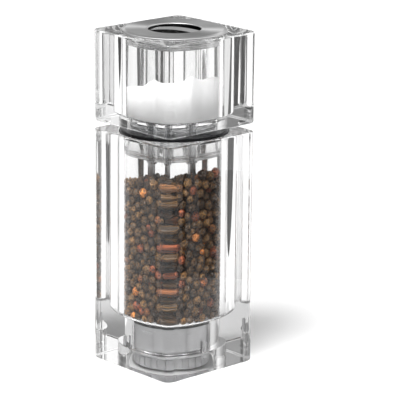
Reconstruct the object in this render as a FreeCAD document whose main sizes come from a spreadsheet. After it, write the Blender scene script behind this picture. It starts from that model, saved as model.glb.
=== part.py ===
import FreeCAD, Part
import math
import os
import Sketcher

# Combined salt shaker and pepper mill: a square clear block that holds the peppercorns and
# the grinder, and a square clear head that holds the salt and turns the grinder's shaft.
# Millimetres, +Z up, origin at the centre of the underside of the foot.

SIZES = [
    # the two blocks
    ("block_side", 55.0, "side of both square blocks"),
    ("corner_round", 4.6, "radius of their upright corners"),
    ("edge_round", 0.8, "radius of their top and bottom edges"),
    ("mill_foot", 0.0, "underside of the mill block"),
    ("mill_top", 112.0, "top of the mill block"),
    ("head_gap", 4.0, "gap between the blocks"),
    ("head_tall", 43.0, "height of the head block"),
    # hollows of the mill block
    ("pepper_radius", 25.6, "pepper chamber"),
    ("pepper_floor", 24.3, "floor of the pepper chamber"),
    ("pepper_floor_round", 4.0, "round between that floor and the wall"),
    ("mouth_radius", 26.0, "seat for the plug's collar"),
    ("mouth_deep", 1.6, "depth of that seat"),
    ("throat_radius", 16.4, "hole for the grinder"),
    ("foot_radius", 20.5, "recess under the foot"),
    ("foot_deep", 9.0, "depth of that recess"),
    # hollows of the head block
    ("salt_radius", 23.4, "salt chamber"),
    ("salt_floor_thick", 1.8, "floor of the salt chamber"),
    ("salt_floor_round", 1.0, "round between that floor and the wall"),
    ("hub_recess_radius", 19.8, "recess for the hub"),
    ("hub_recess_deep", 2.5, "depth of that recess"),
    ("shaft_hole", 3.8, "hole for the shaft in the head's floor"),
    ("seat_radius", 24.7, "seat for the cap in the top"),
    ("seat_deep", 1.6, "depth of that seat"),
    # fits
    ("loose", 0.3, "gap between pieces that move past each other"),
    ("running", 0.08, "gap of a running fit"),
    ("contact", 0.05, "gap between faces that rest on each other"),
    ("overshoot", 1.0, "how far a cutting cylinder runs past its piece"),
    # grinder
    ("housing_radius", 16.1, "outside of the steel housing"),
    ("housing_wall", 1.2, "its wall"),
    ("housing_foot", 7.6, "underside of its flange"),
    ("housing_flange", 20.2, "radius of its flange"),
    ("housing_top", 21.4, "top of the steel"),
    ("lip_radius", 13.3, "inner lip that holds the dial"),
    ("lip_thick", 1.3, "thickness of flange and lip"),
    ("ring_shelf", 10.4, "shelf under the grinding ring"),
    ("ring_shelf_radius", 14.3, "inner radius of that shelf"),
    ("ring_top", 19.9, "top of the grinding ring"),
    ("ring_waist", 11.6, "narrowest radius of the grinding ring"),
    ("ring_waist_height", 14.5, "height of its waist"),
    ("ring_inlet", 13.4, "radius where peppercorns enter"),
    ("ring_outlet", 12.9, "radius where the grounds leave"),
    ("ring_teeth", 30, "grooves in the grinding ring"),
    ("ring_tooth_half", 0.55, "half the width of a groove at the waist"),
    ("ring_tooth_start", 0.4, "how far inside the waist a groove's outline starts"),
    ("ring_tooth_deep", 0.3, "how far a groove cuts past the inlet"),
    ("rotor_foot", 10.3, "underside of the rotor"),
    ("rotor_top", 20.0, "top of the rotor"),
    ("rotor_radius", 12.2, "radius of its lower edge"),
    ("rotor_waist", 10.9, "radius at the grinding ring's waist"),
    ("rotor_tip", 6.4, "radius at its top"),
    ("rotor_teeth", 12, "grooves in the rotor"),
    ("flute_deep", 1.1, "depth of a groove at the rotor's waist"),
    ("flute_past", 0.6, "how far a groove's outline runs past the rotor"),
    ("flute_slow_side", 1.4, "width of its gently sloping side"),
    ("flute_steep_side", 0.7, "width of its cutting side"),
    ("spring_radius", 4.2, "mean radius of the spring"),
    ("spring_wire", 0.4, "radius of its wire"),
    ("spring_turns", 3.5, "turns of the spring"),
    ("spring_seat_radius", 4.9, "pocket for the spring in the rotor"),
    ("spring_seat_deep", 3.0, "depth of that pocket"),
    ("bridge_top", 24.2, "top of the bearing bridge"),
    ("bridge_eye", 6.2, "radius of its middle"),
    ("bridge_opening", 13.9, "inner radius of its rim"),
    ("bridge_window", 13.5, "outer radius of its windows"),
    ("bridge_windows", 3, "number of its windows"),
    ("bridge_window_half", 48, "half the angle of a window"),
    ("screw_circle", 18.6, "radius of the housing screws' circle"),
    ("screw_count", 3, "number of housing screws"),
    ("screw_radius", 1.05, "radius of a housing screw"),
    ("screw_long", 6.0, "length of a housing screw"),
    ("screw_head_radius", 1.9, "radius of its head"),
    ("screw_head_tall", 1.5, "height of its head"),
    # adjuster
    ("dial_foot", 1.0, "underside of the dial"),
    ("dial_tall", 5.0, "height of its rim"),
    ("dial_radius", 16.3, "radius of its rim"),
    ("dial_inner", 12.2, "inner radius of its rim"),
    ("dial_bead", 13.9, "radius of its snap bead"),
    ("dial_bead_tall", 0.7, "height of its snap bead"),
    ("dial_windows", 3, "openings in the dial for the grounds"),
    ("dial_window_half", 50, "half the angle of an opening"),
    ("dial_grips", 24, "grip grooves on its rim"),
    ("grip_deep", 0.5, "depth of a grip groove"),
    ("grip_past", 0.4, "how far its outline runs past the rim"),
    ("grip_half", 0.7, "half the width of that outline"),
    ("boss_radius", 3.6, "radius of its middle boss"),
    ("boss_foot", 2.0, "underside of its middle boss"),
    ("boss_top", 8.6, "top of its middle boss"),
    ("lift_radius", 2.2, "radius of the lift screw"),
    ("lift_head", 4.2, "radius of its head"),
    ("lift_foot", 2.4, "lower end of the lift screw"),
    # shaft
    ("shaft_side", 5.0, "side of the square shaft"),
    ("diagonal_ratio", 1.41421, "a square's diagonal over its side"),
    ("shaft_foot", 11.6, "lower end of the shaft"),
    ("stud_radius", 2.4, "threaded upper end of the shaft"),
    ("stud_long", 5.8, "length of that end"),
    ("washer_radius", 5.2, "radius of the washer"),
    ("washer_thick", 1.0, "thickness of the washer"),
    ("nut_corner", 4.6, "corner radius of the nut"),
    ("nut_tall", 4.0, "height of the nut"),
    ("clip_radius", 5.2, "radius of the clip"),
    ("clip_thick", 0.8, "thickness of the clip"),
    # plug
    ("plug_rim_foot", 103.0, "underside of the plug's plate at its rim"),
    ("plug_plate", 1.6, "thickness of that plate"),
    ("plug_radius", 24.9, "outside of the plug"),
    ("plug_wall", 2.2, "wall of the plug"),
    ("plug_groove", 105.0, "height of the seal"),
    ("seal_radius", 0.8, "radius of the seal's section"),
    ("plug_hub", 8.2, "radius of the plug's hub"),
    ("plug_hub_foot", 97.8, "lower end of the hub"),
    ("plug_hub_end", 4.4, "radius of that end"),
    ("plug_hub_round", 7.0, "radius of the hub's domed end"),
    ("plug_hub_shoulder", 104.0, "height where the dome starts"),
    ("collar_radius", 25.0, "radius of the collar"),
    ("collar_lip", 25.7, "radius of its lip"),
    ("collar_lip_tall", 1.15, "height of its lip"),
    ("collar_tall", 2.75, "height of the collar"),
    ("collar_hole", 4.5, "hole in the collar"),
    # hub of the head
    ("hub_stem", 12.8, "radius of the hub's foot"),
    ("hub_flange", 19.4, "radius of its flange"),
    ("hub_flange_tall", 1.9, "height of its flange"),
    # column in the salt chamber
    ("column_radius", 7.6, "radius of the column"),
    ("column_wall", 1.2, "its wall"),
    ("column_gap", 0.5, "gap between the column and the shaker insert"),
    # shaker insert
    ("insert_foot", 154.4, "underside of the insert's rim"),
    ("insert_plate", 153.0, "underside of its plate"),
    ("insert_plate_top", 154.6, "top of its plate"),
    ("insert_cup", 14.6, "outside of its well"),
    ("insert_well", 13.2, "inside of its well"),
    ("insert_groove_foot", 155.0, "lower side of the seal's groove"),
    ("insert_groove_top", 156.3, "upper side of the seal's groove"),
    ("insert_groove_radius", 22.1, "bottom of the seal's groove"),
    ("insert_seal_radius", 0.6, "radius of the seal's section"),
    ("pour_circle", 9.7, "radius of the circle of pour holes"),
    ("pour_radius", 0.9, "radius of a pour hole"),
    ("pour_step", 22.0, "angle between neighbouring pour holes"),
    # cap
    ("cap_radius", 24.4, "radius of the cap"),
    ("cap_edge", 1.5, "height of the cap's edge"),
    ("cap_tall", 2.3, "height of the cap"),
    ("cap_bevel", 0.8, "bevel of its edge"),
    ("cap_fall", 0.1, "fall of its top towards that edge"),
    ("dish_radius", 12.1, "radius of the dish"),
    ("dish_wall", 0.8, "thickness of the dish"),
    ("dish_deep", 4.3, "depth of the dish"),
    ("dish_bevel", 0.6, "bevel where the disc falls into the dish"),
    ("bar_turn", 30.0, "direction of the finger bar"),
    ("bar_wide", 7.0, "width of the finger bar"),
    ("bar_half", 11.4, "half its length"),
    ("bar_leg", 2.2, "length of its feet"),
    ("bar_under", 1.5, "room under the bar"),
    ("bar_end_tall", 3.0, "height of the bar's ends"),
    ("bar_arch", 60.0, "radius of the arch of its top"),
    ("pivot_radius", 1.5, "radius of the cap screw"),
    ("pivot_head", 2.8, "radius of its head"),
    ("pivot_head_tall", 1.2, "height of its head"),
    ("pivot_end", 0.2, "how far it stands below its push nut"),
    ("push_nut_radius", 3.0, "radius of the push nut"),
    ("push_nut_thick", 0.7, "thickness of the push nut"),
    # contents
    ("pepper_level", 93.5, "top of the peppercorns"),
    ("salt_level", 138.5, "top of the salt"),
]


def make_sheet(doc):
    """Write every driving dimension into the sheet, one row each."""
    sheet = doc.addObject("Spreadsheet::Sheet", "Sizes")
    for row, (alias, value, note) in enumerate(SIZES, start=1):
        sheet.set("A%d" % row, note)
        sheet.set("B%d" % row, str(value))
        sheet.setAlias("B%d" % row, alias)
    doc.recompute()
    return sheet


def bound(text):
    """Turn alias names in a formula into references to the sheet."""
    words = []
    for word in text.split():
        is_name = word[0].isalpha()
        words.append("Sizes." + word if is_name else word)
    return " ".join(words)


def value_of(text):
    """The number that a formula of aliases gives now."""
    result = DOC.getObject("Sizes").evalExpression(text)
    return float(getattr(result, "Value", result))


def tie(target, prop, text):
    target.setExpression(prop, bound(text))


# ---------------------------------------------------------------- sketches

def origin_plane(body, role):
    for feature in body.Origin.OriginFeatures:
        if feature.Role == role:
            return feature
    raise ValueError("no plane " + role)


def origin_axis(body, role):
    return (origin_plane(body, role), [""])


def new_body(label):
    body = DOC.addObject("PartDesign::Body", label)
    body.Label = label
    return body


def new_sketch(body, name, role, lift=None):
    """A sketch on one of the body's origin planes, raised along its normal by a formula."""
    sketch = body.newObject("Sketcher::SketchObject", name)
    sketch.AttachmentSupport = (origin_plane(body, role), [""])
    sketch.MapMode = "FlatFace"
    if lift is not None:
        tie(sketch, "AttachmentOffset.Base.z", lift)
    return sketch


def tie_constraint(sketch, index, name, text):
    sketch.renameConstraint(index, name)
    tie(sketch, "Constraints." + name, text)


def pin_point(sketch, line, end, name, across, up):
    """Place one end of a line at (across, up), each a formula, from the sketch's origin."""
    x = value_of(across)
    y = value_of(up)
    if abs(x) < NOTHING:
        sketch.addConstraint(Sketcher.Constraint("PointOnObject", line, end, -2))
    else:
        index = sketch.addConstraint(Sketcher.Constraint("DistanceX", -1, 1, line, end, x))
        tie_constraint(sketch, index, name + "_across", across)
    if abs(y) < NOTHING:
        sketch.addConstraint(Sketcher.Constraint("PointOnObject", line, end, -1))
    else:
        index = sketch.addConstraint(Sketcher.Constraint("DistanceY", -1, 1, line, end, y))
        tie_constraint(sketch, index, name + "_up", up)


def arc_between(first, last, radius):
    """The short arc of that radius from first to last, its centre on the left for radius > 0."""
    chord = last - first
    middle = (first + last) * 0.5
    left = FreeCAD.Vector(-chord.y, chord.x, 0).normalize()
    reach = math.sqrt(radius ** 2 - (chord.Length / 2) ** 2)
    centre = middle + left * math.copysign(reach, radius)
    start = math.atan2(first.y - centre.y, first.x - centre.x)
    stop = math.atan2(last.y - centre.y, last.x - centre.x)
    circle = Part.Circle(centre, FreeCAD.Vector(0, 0, 1), abs(radius))
    if radius > 0:
        return Part.ArcOfCircle(circle, start, stop), (1, 2)
    return Part.ArcOfCircle(circle, stop, start), (2, 1)


def outline(sketch, points):
    """A closed outline. Each point is (across, up) or (across, up, radius), where the radius
    bends the side that leaves the point, counter-clockwise when it is positive."""
    spots = [FreeCAD.Vector(value_of(p[0]), value_of(p[1]), 0) for p in points]
    ends = []
    for index, point in enumerate(points):
        first = spots[index]
        last = spots[(index + 1) % len(spots)]
        if len(point) == 3:
            sign = -1 if point[2].startswith("-") else 1
            size = point[2].lstrip("- ")
            shape, order = arc_between(first, last, sign * value_of(size))
            side = sketch.addGeometry(shape, False)
            mark = sketch.addConstraint(Sketcher.Constraint("Radius", side, value_of(size)))
            tie_constraint(sketch, mark, "bend%d" % index, size)
        else:
            side = sketch.addGeometry(Part.LineSegment(first, last), False)
            order = (1, 2)
        ends.append((side, order))
    for index, (side, order) in enumerate(ends):
        next_side, next_order = ends[(index + 1) % len(ends)]
        sketch.addConstraint(Sketcher.Constraint("Coincident", side, order[1], next_side, next_order[0]))
    for index, point in enumerate(points):
        side, order = ends[index]
        pin_point(sketch, side, order[0], "p%d" % index, point[0], point[1])


def round_hole(sketch, across, up, radius):
    """A circle whose centre and radius are formulas."""
    centre = FreeCAD.Vector(value_of(across), value_of(up), 0)
    circle = sketch.addGeometry(Part.Circle(centre, FreeCAD.Vector(0, 0, 1), value_of(radius)), False)
    pin_point(sketch, circle, 3, "c%d" % circle, across, up)
    index = sketch.addConstraint(Sketcher.Constraint("Radius", circle, value_of(radius)))
    tie_constraint(sketch, index, "radius%d" % circle, radius)


def square(sketch, side):
    """A square centred on the origin, its side a formula."""
    half = "( " + side + " ) / 2"
    minus = "0 - " + half
    outline(sketch, [(minus, minus), (half, minus), (half, half), (minus, half)])


def sector(sketch, inner, outer, half_angle):
    """A ring sector symmetric about the sketch's X, between two radii."""
    across = math.cos(math.radians(half_angle))
    up = math.sin(math.radians(half_angle))
    outline(sketch, [
        ("%s * %.5f" % (inner, across), "%s * %.5f * -1" % (inner, up)),
        ("%s * %.5f" % (outer, across), "%s * %.5f * -1" % (outer, up), outer),
        ("%s * %.5f" % (outer, across), "%s * %.5f" % (outer, up)),
        ("%s * %.5f" % (inner, across), "%s * %.5f" % (inner, up), "- " + inner),
    ])


# ---------------------------------------------------------------- features

def pad(body, name, sketch, length):
    feature = body.newObject("PartDesign::Pad", name)
    feature.Profile = sketch
    tie(feature, "Length", length)
    DOC.recompute()
    return feature


def turn(body, name, points, kind="PartDesign::Revolution"):
    """Spin an outline of (radius, height) points round Z, as material or as a groove."""
    sketch = new_sketch(body, name + "_outline", "XZ_Plane")
    outline(sketch, points)
    feature = body.newObject(kind, name)
    feature.Profile = sketch
    feature.ReferenceAxis = (sketch, ["V_Axis"])
    feature.Angle = 360
    DOC.recompute()
    return feature


def groove(body, name, points):
    before = body.Shape.Volume
    feature = turn(body, name, points, "PartDesign::Groove")
    expect_less(body, before, name)
    return feature


def pocket(body, name, sketch, length=None, upward=True):
    """Cut a sketch through everything, or for a length, along +Z or -Z."""
    before = body.Shape.Volume
    feature = body.newObject("PartDesign::Pocket", name)
    feature.Profile = sketch
    feature.Reversed = upward
    if length is None:
        feature.Type = "ThroughAll"
    else:
        tie(feature, "Length", length)
    DOC.recompute()
    expect_less(body, before, name)
    return feature


def expect_less(body, before, name):
    if body.Shape.Volume >= before - NOTHING:
        raise RuntimeError(name + " cuts nothing")


def around(body, name, feature, count):
    """Repeat a feature evenly round Z."""
    pattern = body.newObject("PartDesign::PolarPattern", name)
    pattern.Originals = [feature]
    pattern.Axis = origin_axis(body, "Z_Axis")
    pattern.Angle = 360
    tie(pattern, "Occurrences", count)
    body.Tip = pattern
    DOC.recompute()
    return pattern


def soften(body, name, feature, edges, radius):
    """Round the named edges of a feature."""
    fillet = body.newObject("PartDesign::Fillet", name)
    fillet.Base = (feature, edges)
    tie(fillet, "Radius", radius)
    DOC.recompute()
    return fillet


def edges_where(feature, test):
    """Names of the edges whose every vertex and middle point passes the test."""
    names = []
    for index, edge in enumerate(feature.Shape.Edges, start=1):
        middle = edge.valueAt((edge.FirstParameter + edge.LastParameter) / 2)
        spots = [vertex.Point for vertex in edge.Vertexes] + [middle]
        if all(test(spot) for spot in spots):
            names.append("Edge%d" % index)
    return names


def ring_edge(feature, radius, height):
    """Names of the circles round Z at that radius and height."""
    def on_ring(spot):
        return abs(math.hypot(spot.x, spot.y) - radius) < CLOSE and abs(spot.z - height) < CLOSE
    return edges_where(feature, on_ring)


# ---------------------------------------------------------------- Part primitives

def cylinder(name, radius, foot, tall, angle=None):
    """A Part cylinder on Z; radius, foot and tall are formulas."""
    shape = DOC.addObject("Part::Cylinder", name)
    tie(shape, "Radius", radius)
    tie(shape, "Height", tall)
    tie(shape, "Placement.Base.z", foot)
    if angle is not None:
        shape.Angle = angle
    return shape


def cut(name, base, tool):
    shape = DOC.addObject("Part::Cut", name)
    shape.Base = base
    shape.Tool = tool
    return shape


def ring(name, outer, inner, foot, tall):
    """A flat or tall ring round Z."""
    solid = cylinder(name + "_outside", outer, foot, tall)
    hollow = cylinder(name + "_inside", inner, "( " + foot + " ) - overshoot",
                      "( " + tall + " ) + overshoot * 2")
    return cut(name, solid, hollow)


def seal(name, ring_radius, section_radius, height):
    """An O-ring round Z."""
    shape = DOC.addObject("Part::Torus", name)
    tie(shape, "Radius1", ring_radius)
    tie(shape, "Radius2", section_radius)
    tie(shape, "Placement.Base.z", height)
    return shape


# ---------------------------------------------------------------- heights used by several pieces

CLOSE = 0.01  # millimetres within which two positions count as the same
NOTHING = 1e-9  # smaller lengths and volumes count as zero
HEAD_FOOT = "mill_top + head_gap"
HEAD_TOP = "mill_top + head_gap + head_tall"
SALT_FLOOR = "mill_top + head_gap + hub_recess_deep + salt_floor_thick"
COLLAR_FOOT = "mill_top - mouth_deep + contact"
COLLAR_TOP = "mill_top - mouth_deep + contact + collar_tall"
SEAT_FLOOR = "mill_top + head_gap + head_tall - seat_deep"
CAP_FOOT = SEAT_FLOOR + " + loose"
DISH_FLOOR = CAP_FOOT + " + cap_tall - dish_deep"
LIFT_HEAD_TOP = "rotor_foot - loose"
SPINDLE_HOLE = "shaft_side / 2 * diagonal_ratio + running"


# ---------------------------------------------------------------- mill body

def square_block(label, foot, tall):
    """A square block with rounded upright corners; gives the body and its last feature."""
    body = new_body(label)
    base = new_sketch(body, label + "_base", "XY_Plane", foot)
    square(base, "block_side")
    solid = pad(body, label + "_pad", base, tall)
    half = value_of("block_side") / 2

    def on_corner(spot):
        return abs(abs(spot.x) - half) < CLOSE and abs(abs(spot.y) - half) < CLOSE

    corners = soften(body, label + "_corners", solid, edges_where(solid, on_corner), "corner_round")
    return body, corners


def soften_outside(body, label, feature):
    """Round the outer top and bottom edges of a square block."""
    low = feature.Shape.BoundBox.ZMin
    high = feature.Shape.BoundBox.ZMax
    half = value_of("block_side") / 2
    reach = half - value_of("corner_round")

    def outside(spot):
        level = min(abs(spot.z - low), abs(spot.z - high)) < CLOSE
        on_face = max(abs(spot.x), abs(spot.y)) > half - CLOSE
        in_corner = min(abs(spot.x), abs(spot.y)) > reach - CLOSE
        return level and (on_face or in_corner)

    return soften(body, label + "_edges", feature, edges_where(feature, outside), "edge_round")


def mill_block():
    body, solid = square_block("mill_block", "mill_foot", "mill_top")
    bore = groove(body, "mill_bore", [
        ("0", "0"),
        ("foot_radius", "0"),
        ("foot_radius", "foot_deep"),
        ("throat_radius", "foot_deep"),
        ("throat_radius", "pepper_floor"),
        ("pepper_radius", "pepper_floor"),
        ("pepper_radius", "mill_top - mouth_deep"),
        ("mouth_radius", "mill_top - mouth_deep"),
        ("mouth_radius", "mill_top"),
        ("0", "mill_top"),
    ])
    floor_edge = ring_edge(bore, value_of("pepper_radius"), value_of("pepper_floor"))
    rounded = soften(body, "mill_floor_round", bore, floor_edge, "pepper_floor_round")
    soften_outside(body, "mill_block", rounded)
    holes = new_sketch(body, "mill_screw_hole", "XY_Plane", "foot_deep")
    round_hole(holes, "screw_circle", "0", "screw_radius + contact")
    drilled = pocket(body, "mill_screw_pocket", holes, "screw_long", True)
    around(body, "mill_screw_holes", drilled, "screw_count")


def mechanism_housing():
    body = new_body("mechanism_housing")
    inner = "housing_radius - housing_wall"
    turn(body, "housing_shell", [
        ("lip_radius", "housing_foot"),
        ("housing_flange", "housing_foot"),
        ("housing_flange", "housing_foot + lip_thick"),
        ("housing_radius", "housing_foot + lip_thick"),
        ("housing_radius", "housing_top"),
        (inner, "housing_top"),
        (inner, "ring_shelf"),
        ("ring_shelf_radius", "ring_shelf"),
        ("ring_shelf_radius", "housing_foot + lip_thick"),
        ("lip_radius", "housing_foot + lip_thick"),
    ])
    holes = new_sketch(body, "housing_screw_hole", "XY_Plane", "housing_foot")
    round_hole(holes, "screw_circle", "0", "screw_radius + contact")
    drilled = pocket(body, "housing_screw_pocket", holes, "lip_thick", True)
    around(body, "housing_screw_holes", drilled, "screw_count")


def grinding_ring():
    body = new_body("grinding_ring")
    outer = "housing_radius - housing_wall - contact"
    turn(body, "ring_solid", [
        ("ring_outlet", "ring_shelf + contact"),
        (outer, "ring_shelf + contact"),
        (outer, "ring_top"),
        ("ring_inlet", "ring_top"),
        ("ring_waist", "ring_waist_height"),
    ])
    tooth = new_sketch(body, "ring_tooth", "XY_Plane", "ring_shelf")
    outline(tooth, [
        ("ring_waist - ring_tooth_start", "0 - ring_tooth_half"),
        ("ring_inlet + ring_tooth_deep", "0"),
        ("ring_waist - ring_tooth_start", "ring_tooth_half"),
    ])
    notch = pocket(body, "ring_notch", tooth)
    around(body, "ring_notches", notch, "ring_teeth")


def bearing_bridge():
    """Spoked bridge on top of the housing, which steadies the shaft."""
    body = new_body("bearing_bridge")
    spigot = "housing_radius - housing_wall - contact"
    turn(body, "bridge_disc", [
        (SPINDLE_HOLE, "housing_top"),
        ("bridge_opening", "housing_top"),
        ("bridge_opening", "ring_top + contact"),
        (spigot, "ring_top + contact"),
        (spigot, "housing_top"),
        ("housing_radius", "housing_top"),
        ("housing_radius", "bridge_top"),
        (SPINDLE_HOLE, "bridge_top"),
    ])
    window = new_sketch(body, "bridge_window", "XY_Plane", "housing_top")
    sector(window, "bridge_eye", "bridge_window", value_of("bridge_window_half"))
    opening = pocket(body, "bridge_opening_cut", window, "bridge_top - housing_top")
    around(body, "bridge_openings", opening, "bridge_windows")


def housing_screws():
    """Pan-head screws from below, evenly round the flange."""
    screws = []
    for index in range(int(value_of("screw_count"))):
        name = "housing_screw%d" % (index + 1)
        shank = cylinder(name + "_shank", "screw_radius", "housing_foot - screw_head_tall / 2",
                         "screw_long + screw_head_tall / 2")
        head = cylinder(name + "_head", "screw_head_radius", "housing_foot - screw_head_tall",
                        "screw_head_tall")
        screw = DOC.addObject("Part::MultiFuse", name)
        screw.Shapes = [shank, head]
        angle = 360.0 / value_of("screw_count") * index
        tie(screw, "Placement.Base.x", "screw_circle * %.5f" % math.cos(math.radians(angle)))
        tie(screw, "Placement.Base.y", "screw_circle * %.5f" % math.sin(math.radians(angle)))
        screws.append(screw)
    group = DOC.addObject("Part::Compound", "housing_screws")
    group.Links = screws


def peppercorn_fill():
    """The space that the peppercorns take, with a hole where they lie round the shaft."""
    body = new_body("peppercorn_fill")
    hole = SPINDLE_HOLE + " + loose"
    foot = "pepper_floor + loose"
    outer = "pepper_radius - loose"
    turn(body, "fill_solid", [
        (hole, foot),
        (outer + " - pepper_floor_round", foot),
        (outer, foot + " + pepper_floor_round"),
        (outer, "pepper_level"),
        (hole, "pepper_level"),
    ])


def rotor_spring():
    """Coil spring that presses the rotor away from the bridge."""
    body = new_body("rotor_spring")
    wire = new_sketch(body, "spring_wire_section", "XZ_Plane")
    foot = "rotor_top - spring_seat_deep + spring_wire + contact"
    round_hole(wire, "spring_radius", foot, "spring_wire")
    coil = body.newObject("PartDesign::AdditiveHelix", "spring_coil")
    coil.Profile = wire
    coil.ReferenceAxis = (wire, ["V_Axis"])
    coil.Mode = "height-turns-growth"
    tie(coil, "Height", "housing_top - rotor_top + spring_seat_deep - spring_wire * 2 - contact * 4")
    coil.Turns = value_of("spring_turns")
    DOC.recompute()


# ---------------------------------------------------------------- adjuster and rotor

def adjuster_dial():
    body = new_body("adjuster_dial")
    collar = "lip_radius - running"
    rim_top = "dial_foot + dial_tall"
    bead_foot = "housing_foot + lip_thick + loose"
    web_foot = "dial_foot + dial_tall / 2"
    turn(body, "dial_solid", [
        ("lift_radius + running", "boss_foot"),
        ("boss_radius", "boss_foot"),
        ("boss_radius", web_foot),
        ("dial_inner", web_foot),
        ("dial_inner", "dial_foot"),
        ("dial_radius", "dial_foot"),
        ("dial_radius", rim_top),
        (collar, rim_top),
        (collar, bead_foot),
        ("dial_bead", bead_foot),
        ("dial_bead", bead_foot + " + dial_bead_tall"),
        ("dial_inner", bead_foot + " + dial_bead_tall"),
        ("dial_inner", rim_top),
        ("boss_radius", rim_top),
        ("boss_radius", "boss_top"),
        ("lift_radius + running", "boss_top"),
    ])
    window = new_sketch(body, "dial_window", "XY_Plane", web_foot)
    sector(window, "boss_radius", "dial_inner", value_of("dial_window_half"))
    opening = pocket(body, "dial_opening_cut", window, "dial_tall / 2")
    around(body, "dial_openings", opening, "dial_windows")
    grip = new_sketch(body, "dial_grip", "XY_Plane", "dial_foot")
    outline(grip, [
        ("dial_radius - grip_deep", "0"),
        ("dial_radius + grip_past", "0 - grip_half"),
        ("dial_radius + grip_past", "grip_half"),
    ])
    notch = pocket(body, "dial_notch", grip, "dial_tall")
    around(body, "dial_notches", notch, "dial_grips")


def lift_screw():
    """Stud with a flat head that carries the rotor."""
    body = new_body("lift_screw")
    head_foot = "boss_top + loose"
    turn(body, "lift_solid", [
        ("0", "lift_foot"),
        ("lift_radius", "lift_foot"),
        ("lift_radius", head_foot),
        ("lift_head", head_foot),
        ("lift_head", LIFT_HEAD_TOP),
        ("0", LIFT_HEAD_TOP),
    ])


def grinding_rotor():
    """Toothed cone, wider below, with a square hole that slides on the shaft."""
    body = new_body("grinding_rotor")
    turn(body, "rotor_solid", [
        ("0", "rotor_foot"),
        ("rotor_radius", "rotor_foot"),
        ("rotor_radius", "rotor_foot + loose"),
        ("rotor_waist", "ring_waist_height"),
        ("rotor_tip", "rotor_top"),
        ("0", "rotor_top"),
    ])
    hole = new_sketch(body, "rotor_hole", "XY_Plane", "rotor_foot")
    square(hole, "shaft_side + running * 2")
    pocket(body, "rotor_square", hole)
    seat = new_sketch(body, "rotor_seat", "XY_Plane", "rotor_top - spring_seat_deep")
    round_hole(seat, "0", "0", "spring_seat_radius")
    pocket(body, "rotor_spring_seat", seat)
    tooth = new_sketch(body, "rotor_tooth", "XY_Plane", "rotor_foot")
    outline(tooth, [
        ("rotor_waist - flute_deep", "0"),
        ("rotor_radius + flute_past", "0 - flute_slow_side"),
        ("rotor_radius + flute_past", "flute_steep_side"),
    ])
    notch = pocket(body, "rotor_notch", tooth)
    around(body, "rotor_notches", notch, "rotor_teeth")


# ---------------------------------------------------------------- plug

def plug_cup():
    """Clear plug with a hollow rim, a dished plate and a domed hub for the shaft."""
    body = new_body("plug_cup")
    groove_floor = "pepper_radius - running - seal_radius * 2 - contact"
    half_groove = "seal_radius + contact"
    turn(body, "plug_solid", [
        (SPINDLE_HOLE, "plug_hub_foot"),
        ("plug_hub_end", "plug_hub_foot", "plug_hub_round"),
        ("plug_hub", "plug_hub_shoulder"),
        ("plug_hub", COLLAR_FOOT),
        (SPINDLE_HOLE, COLLAR_FOOT),
    ])
    turn(body, "plug_shell", [
        ("plug_hub_end", "plug_hub_foot"),
        ("plug_radius", "plug_rim_foot"),
        ("plug_radius", "plug_groove - ( " + half_groove + " )"),
        (groove_floor, "plug_groove - ( " + half_groove + " )"),
        (groove_floor, "plug_groove + " + half_groove),
        ("plug_radius", "plug_groove + " + half_groove),
        ("plug_radius", COLLAR_FOOT),
        ("plug_radius - plug_wall", COLLAR_FOOT),
        ("plug_radius - plug_wall", "plug_rim_foot + plug_plate"),
        ("plug_hub_end", "plug_hub_foot + plug_plate"),
    ])


def plug_seal():
    seal("plug_seal", "pepper_radius - running - seal_radius", "seal_radius", "plug_groove")


def plug_collar():
    body = new_body("plug_collar")
    lip_top = COLLAR_FOOT + " + collar_lip_tall"
    solid = turn(body, "collar_solid", [
        ("collar_hole", COLLAR_FOOT),
        ("collar_lip", COLLAR_FOOT),
        ("collar_lip", lip_top),
        ("collar_radius", lip_top),
        ("collar_radius", COLLAR_TOP),
        ("collar_hole", COLLAR_TOP),
    ])
    rim = ring_edge(solid, value_of("collar_radius"), value_of(COLLAR_TOP))
    soften(body, "collar_round", solid, rim, "edge_round / 2")


# ---------------------------------------------------------------- head

def head_block():
    body, solid = square_block("head_block", HEAD_FOOT, "head_tall")
    recess_top = HEAD_FOOT + " + hub_recess_deep"
    hollow = groove(body, "head_hollow", [
        ("0", HEAD_FOOT),
        ("hub_recess_radius", HEAD_FOOT),
        ("hub_recess_radius", recess_top),
        ("shaft_hole", recess_top),
        ("shaft_hole", SALT_FLOOR),
        ("salt_radius", SALT_FLOOR),
        ("salt_radius", SEAT_FLOOR),
        ("seat_radius", SEAT_FLOOR),
        ("seat_radius", HEAD_TOP),
        ("0", HEAD_TOP),
    ])
    floor_edge = ring_edge(hollow, value_of("salt_radius"), value_of(SALT_FLOOR))
    rounded = soften(body, "head_floor_round", hollow, floor_edge, "salt_floor_round")
    soften_outside(body, "head_block", rounded)


def head_hub():
    """Round foot of the head, which turns on the collar and drives the shaft."""
    body = new_body("head_hub")
    flange_top = HEAD_FOOT + " + hub_recess_deep - contact"
    flange_foot = flange_top + " - hub_flange_tall"
    turn(body, "hub_solid", [
        ("0", COLLAR_TOP + " + loose"),
        ("hub_stem", COLLAR_TOP + " + loose"),
        ("hub_stem", flange_foot),
        ("hub_flange", flange_foot),
        ("hub_flange", flange_top),
        ("0", flange_top),
    ])
    hole = new_sketch(body, "hub_hole", "XY_Plane", COLLAR_TOP)
    square(hole, "shaft_side + contact * 2")
    pocket(body, "hub_square", hole)


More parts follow.
